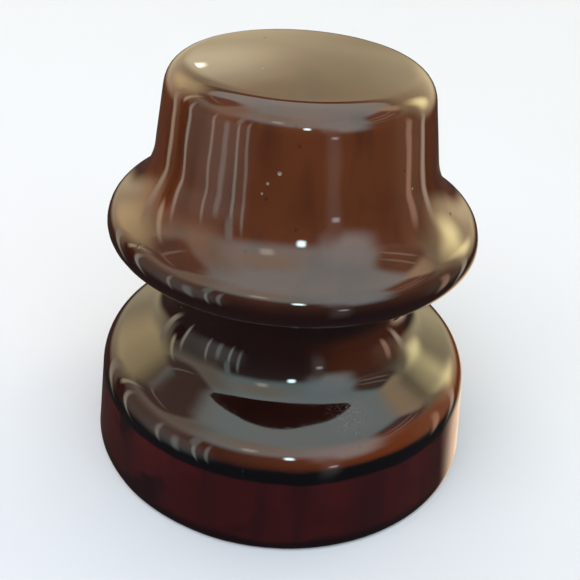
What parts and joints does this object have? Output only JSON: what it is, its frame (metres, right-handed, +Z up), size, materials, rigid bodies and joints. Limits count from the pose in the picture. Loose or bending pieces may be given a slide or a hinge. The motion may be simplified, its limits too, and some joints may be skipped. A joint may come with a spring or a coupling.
{
  "type": "fence insulator",
  "caption": "Brown glazed porcelain pin insulator for a fence or light line, with a flanged crown, a wire groove round the neck, a wide hollow skirt and a threaded pin socket.",
  "frame": {"origin": "centre of the foot, on the plane that the insulator stands on", "axes": "+Z up along the axis of revolution, from the foot to the crown; +X and +Y are equivalent, and -Y faces the pictured side"},
  "size_m": [0.08, 0.08, 0.0825],
  "materials": {
    "brown_glaze": "gloss",
    "galvanised_steel": "satin",
    "cement": "matte",
    "cork": "matte",
    "bitumen": "satin"
  },
  "bodies": {
    "root": {"porcelain_body": "brown_glaze", "threaded_thimble": "galvanised_steel", "cement_sleeve": "cement", "cork_cushion": "cork", "bitumen_seal": "bitumen"}
  },
  "joints": []
}
